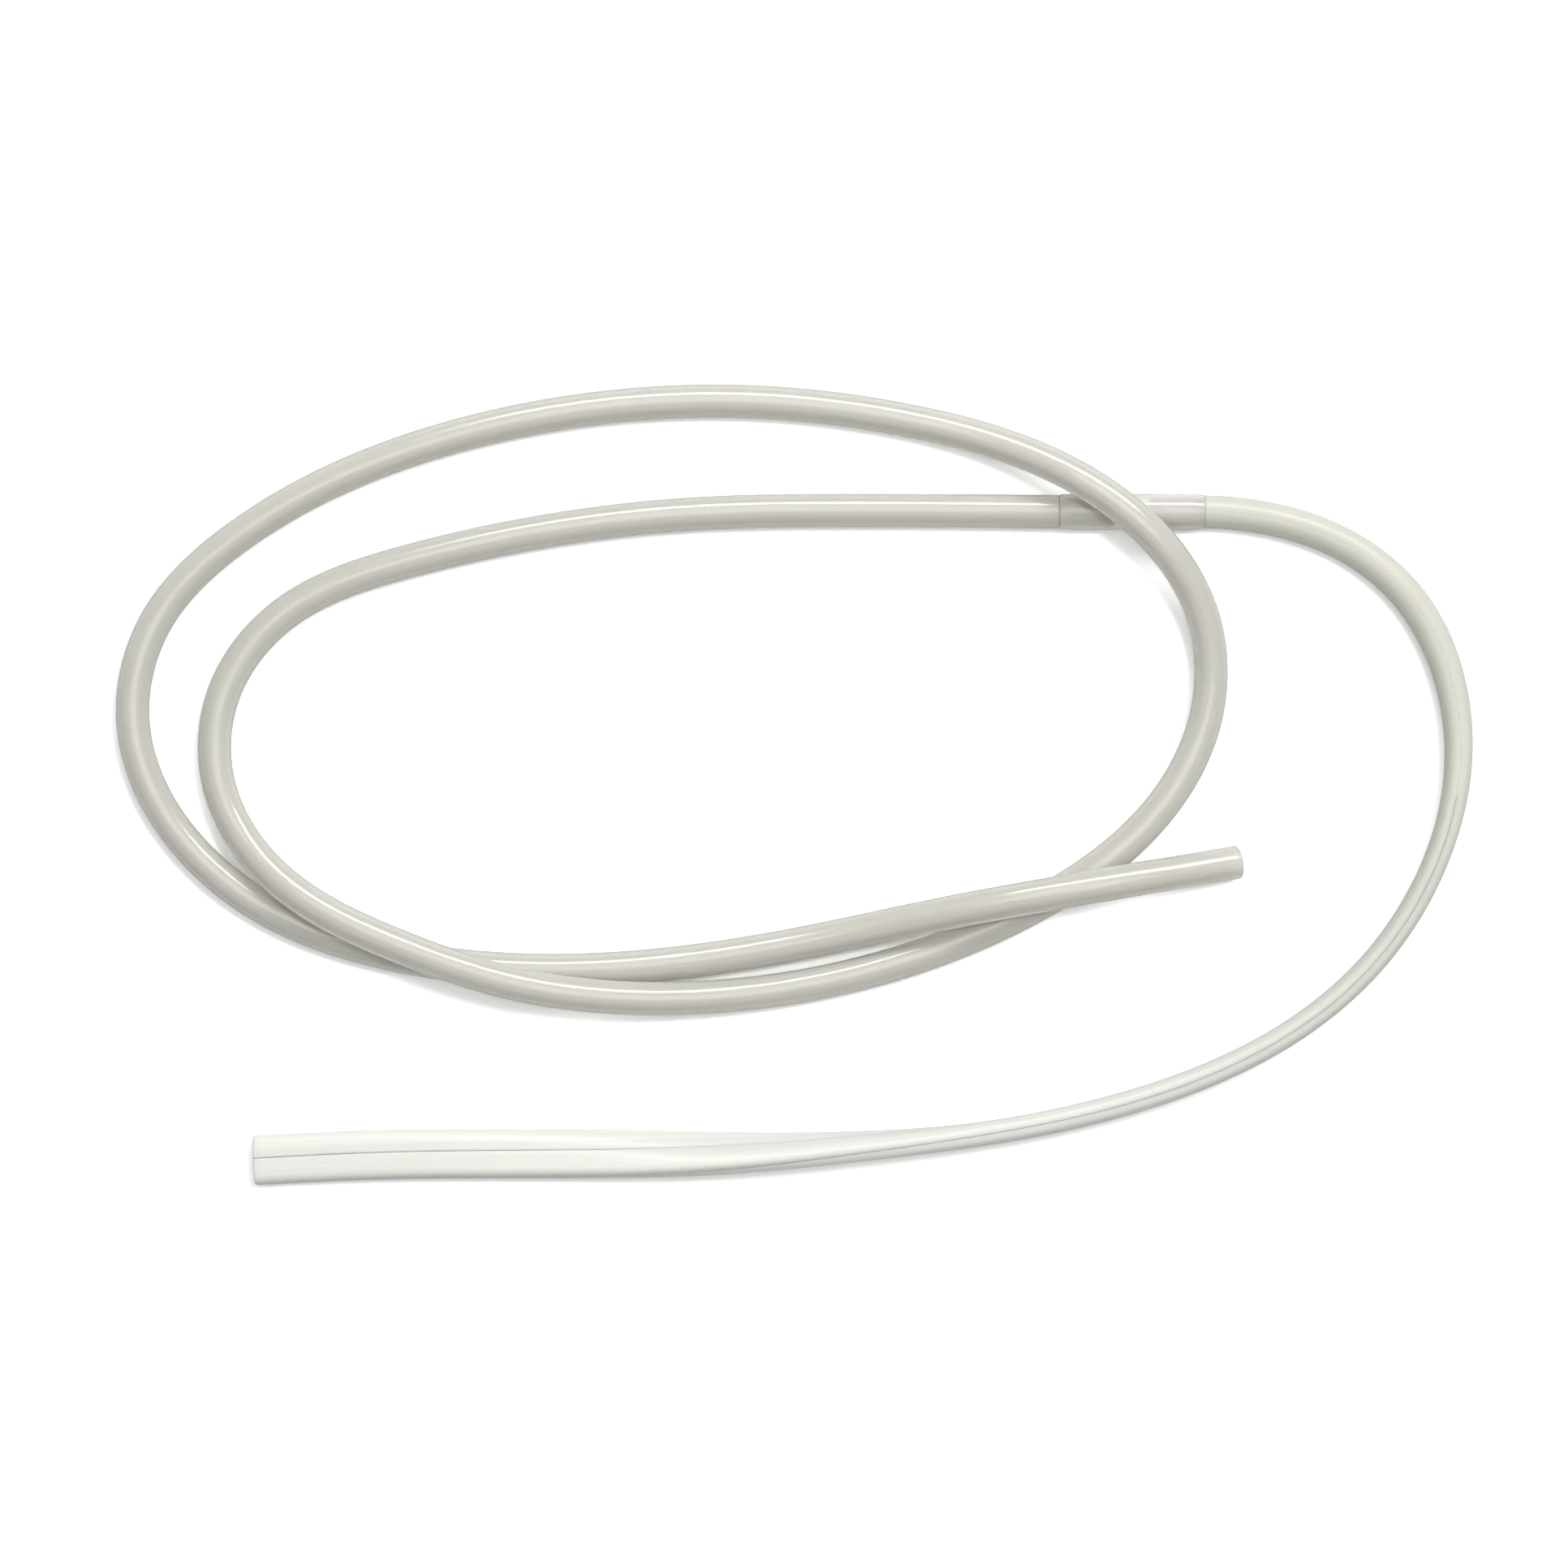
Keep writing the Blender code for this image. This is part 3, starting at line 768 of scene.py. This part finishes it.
class DRAIN_OT_make_collar(Operator):
    """Makes the clear sleeve that joins the tube to the drain section"""

    bl_idname = "wound_drain.make_collar"
    bl_label = "Make collar"

    def execute(self, context):
        collar = settings()[2]
        profile = collar_profile()
        middle = Vector((collar.x, collar.y, collar_radius()))
        x, radius = profile[0]
        bpy.ops.object.select_all(action="DESELECT")
        bpy.ops.mesh.primitive_circle_add(
            vertices=collar.sides, radius=radius, location=middle + Vector((x, 0, 0)),
            rotation=(0, math.pi / 2, 0),
        )
        piece = context.object
        piece.name = "clear_joining_collar"
        bpy.ops.object.transform_apply(location=True, rotation=True, scale=True)
        bpy.ops.object.mode_set(mode="EDIT")
        bpy.ops.mesh.select_all(action="SELECT")
        for next_x, next_radius in [*profile[1:], profile[0]]:
            bpy.ops.mesh.extrude_edges_move(
                TRANSFORM_OT_translate={"value": (next_x - x, 0, 0)}
            )
            growth = next_radius / radius
            bpy.ops.transform.resize(
                value=(1, growth, growth), center_override=middle + Vector((next_x, 0, 0))
            )
            x, radius = next_x, next_radius
        bpy.ops.mesh.select_all(action="SELECT")
        bpy.ops.mesh.remove_doubles(threshold=MERGE_DISTANCE)
        bpy.ops.mesh.normals_make_consistent(inside=False)
        bpy.ops.object.mode_set(mode="OBJECT")
        bpy.ops.object.shade_smooth_by_angle(angle=SMOOTH_ANGLE)
        material = silicone("clear collar", collar, "object", collar.tube_color)
        piece.data.materials.append(material)
        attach(piece, BODY)
        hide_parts("transition_collar")
        return {"FINISHED"}


def outline_at(distance):
    """Half sizes, channels, squareness, web and slit of the drain at a distance from the collar."""
    _, tube, _, drain = settings()
    share = np.clip((distance - drain.shank_end) / (drain.flat_start - drain.shank_end), 0, 1)
    share = share * share * (3 - 2 * share)

    def blend(shank, flat):
        return shank + (flat - shank) * share

    opening = np.clip((distance - drain.slit_start) / drain.slit_ramp, 0, 1) ** 2
    return {
        "wide": blend(drain.shank, drain.width) / 2,
        "thick": blend(drain.shank, drain.thickness) / 2,
        "inner_wide": blend(tube.bore / 2, drain.width / 2 - drain.wall),
        "inner_thick": blend(tube.bore / 2, drain.thickness / 2 - drain.wall),
        "power": blend(CIRCLE_POWER, drain.squareness),
        "web": blend(drain.shank_web, drain.web),
        "slit": drain.slit * (drain.slit_least + (1 - drain.slit_least) * opening),
        "edge": drain.edge * (drain.slit_least + (1 - drain.slit_least) * opening),
    }


def on_oval(wide, thick, power, turn):
    """Points on the first quarter of an oval that is squarer the higher its power."""
    return np.stack([wide * np.cos(turn) ** (2 / power), thick * np.sin(turn) ** (2 / power)], -1)


def axis_turn(size, power, offset):
    """The turn from an axis at which an oval is the offset away from that axis."""
    return np.arcsin((offset / size) ** (power / 2))


def softened(points):
    """The same open outline with its corners cut, and cut again, so that they look moulded."""
    for _ in range(CORNER_CUTS):
        near = (1 - CORNER_SHARE) * points[:-1] + CORNER_SHARE * points[1:]
        far = CORNER_SHARE * points[:-1] + (1 - CORNER_SHARE) * points[1:]
        points = np.concatenate([points[:1], np.stack([near, far], 1).reshape(-1, 2), points[-1:]])
    return points


def slit_lip(corner, inward, along, edge):
    """Points that round a flange's end from its outer face down into the slit."""
    return [corner + along * back + inward * inset for back, inset in edge_steps(edge)]


def drain_section(wide, thick, inner_wide, inner_thick, power, web, slit, edge):
    """Four flange outlines and the four channel outlines that follow them, counterclockwise."""
    half = slit / 2
    low = axis_turn(thick, power, half + edge)
    high = np.pi / 2 - axis_turn(wide, power, half + edge)
    arc = on_oval(wide, thick, power, np.linspace(low, high, FLANGE_POINTS))
    right = slit_lip(np.array([arc[0][0], half]), np.array([-1, 0]), np.array([0, 1]), edge)
    top = slit_lip(np.array([half, arc[-1][1]]), np.array([0, -1]), np.array([1, 0]), edge)
    flange = np.concatenate([right[:0:-1], arc, top[1:]])
    turn = np.linspace(OVAL_MARGIN, np.pi / 2 - OVAL_MARGIN, OVAL_SAMPLES)
    diagonal = np.hypot(inner_wide, inner_thick)
    offset = on_oval(inner_wide, inner_thick, power, turn) @ [-inner_thick, inner_wide] / diagonal
    low_corner, high_corner = np.interp([-web / 2, web / 2], offset, turn)
    high = np.pi / 2 - axis_turn(inner_wide, power, half)
    top_turns = np.linspace(high, high_corner, CHANNEL_POINTS)
    top = on_oval(inner_wide, inner_thick, power, top_turns)
    low = axis_turn(inner_thick, power, half)
    edge_turns = np.linspace(low, low_corner, CHANNEL_POINTS)
    edge_side = on_oval(inner_wide, inner_thick, power, edge_turns)
    top_root = [[0, web / 2 * diagonal / inner_wide]]
    edge_root = [[web / 2 * diagonal / inner_thick, 0]]
    mirror = np.array([-1, 1])
    top_channel = softened(np.concatenate([top, top_root, top[::-1] * mirror]))
    left_channel = softened(np.concatenate([edge_side, edge_root, edge_side[::-1] * -mirror]))
    left_channel = left_channel * mirror
    flanges = [flange, flange[::-1] * mirror, -flange, flange[::-1] * -mirror]
    return flanges, [top_channel, left_channel, -top_channel, -left_channel]


def resting_height(outline, roll):
    """Height of the drain's centre above the floor that its rolled outline touches."""
    power = outline["power"] / (outline["power"] - 1)
    reach = (outline["wide"] * abs(np.sin(roll))) ** power
    reach += (outline["thick"] * abs(np.cos(roll))) ** power
    return reach ** (1 / power)


def drain_rings():
    """Rings of the drain from its neck in the collar to its cut end, and the line that they follow."""
    _, _, collar, drain = settings()
    route = route_from_collar(DRAIN_ROUTE, 1.0)
    along = distances(route[:, :2]) + shoulder()
    roll = np.radians(route[:, 2])
    least = np.array([resting_height(outline_at(s), r) for s, r in zip(along, roll)])
    least[0] = collar_radius()
    line = np.column_stack([route[:, :2], eased(route[:, :2], least)])
    place, centre, ahead, side, up = stations(line, drain.step)
    place = place + shoulder()
    rolls = np.interp(place, along, roll)

    def ring(at, back, **half_sizes):
        across = side[at] * np.cos(rolls[at]) - up[at] * np.sin(rolls[at])
        through = side[at] * np.sin(rolls[at]) + up[at] * np.cos(rolls[at])
        outline = {**outline_at(place[at]), **half_sizes}
        middle = centre[at] - ahead[at] * back
        return Ring(place[at] - back, middle, np.array([across, through]), outline)

    neck = neck_radius()
    stepped = drain.shank / 2 - collar.chamfer
    rings = [
        ring(0, shoulder() + neck_length(), wide=neck, thick=neck),
        ring(0, collar.chamfer, wide=neck, thick=neck),
        ring(0, collar.chamfer, wide=stepped, thick=stepped),
    ]
    rings += [ring(k, 0) for k in range(len(place) - 1)]
    end = outline_at(place[-1])
    rings += [
        ring(-1, back, wide=end["wide"] - inset, thick=end["thick"] - inset)
        for back, inset in edge_steps(drain.rounding)
    ]
    return rings, [rings[0].centre, *centre]


class DRAIN_OT_make_section(Operator):
    """Makes the white drain section with its shank, channels and slits"""

    bl_idname = "wound_drain.make_section"
    bl_label = "Make drain section"

    def execute(self, context):
        _, _, collar, drain = settings()
        rings, path = drain_rings()
        slit_from = int(np.argmin([abs(ring.place - drain.slit_start) for ring in rings]))
        surface = Surface()
        flanges, channels = [], []
        for ring in rings:
            for kept, shapes in zip((flanges, channels), drain_section(**ring.outline)):
                kept.append([
                    surface.loop(
                        ring.centre + shape @ ring.axes,
                        np.column_stack([shape, np.full(len(shape), ring.place)]),
                    )
                    for shape in shapes
                ])
        closed = [sum(four, []) for four in flanges[: slit_from + 1]]
        surface.skin(closed)
        for tunnel in zip(channels[0], *channels[NECK_RINGS : slit_from + 1]):
            surface.skin(tunnel)
        opened = [
            sum((flange + channel for flange, channel in zip(*both)), [])
            for both in zip(flanges[slit_from:], channels[slit_from:])
        ]
        surface.skin(opened)
        # The end wall of each slit
        for k in range(4):
            flange, channel = flanges[slit_from], channels[slit_from][k]
            surface.faces.append(
                (flange[k][-1], channel[0], channel[-1], flange[(k + 1) % 4][0])
            )
        surface.cap([closed[0], *channels[0]])
        surface.cap([opened[-1]])
        material = silicone("white silicone", drain, "grain", drain.shank_color)
        piece = surface.finish("white_drain_section", material)
        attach(piece, BODY)
        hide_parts("fluted_drain")
        return {"FINISHED"}


class DRAIN_PT_looks(Panel):
    """Lists the steps that build the drain's looks"""

    bl_label = "Wound drain"
    bl_idname = "DRAIN_PT_looks"
    bl_space_type = "VIEW_3D"
    bl_region_type = "UI"
    bl_category = "Wound drain"

    def draw(self, context):
        for group in GROUPS:
            box = self.layout.box()
            values = getattr(context.scene, group)
            for name in values.bl_rna.properties.keys():
                if name not in ("rna_type", "name"):
                    box.prop(values, name)
        for operator in OPERATORS:
            self.layout.operator(operator.bl_idname)


OPERATORS = (
    DRAIN_OT_make_stage,
    DRAIN_OT_make_tube,
    DRAIN_OT_make_collar,
    DRAIN_OT_make_section,
)
GROUPS = {
    "drain_stage": StageSettings,
    "drain_tube": TubeSettings,
    "drain_bore": BoreSettings,
    "drain_collar": CollarSettings,
    "drain_section": DrainSettings,
}


def register():
    for group in GROUPS.values():
        bpy.utils.register_class(group)
    for operator in OPERATORS:
        bpy.utils.register_class(operator)
    bpy.utils.register_class(DRAIN_PT_looks)
    for name, group in GROUPS.items():
        setattr(bpy.types.Scene, name, PointerProperty(type=group))


def unregister():
    for name in GROUPS:
        delattr(bpy.types.Scene, name)
    bpy.utils.unregister_class(DRAIN_PT_looks)
    for item in (*OPERATORS, *GROUPS.values()):
        bpy.utils.unregister_class(item)


def main():
    register()
    bpy.ops.wound_drain.make_stage()
    bpy.ops.wound_drain.make_tube()
    bpy.ops.wound_drain.make_collar()
    bpy.ops.wound_drain.make_section()


if __name__ == "__main__":
    main()
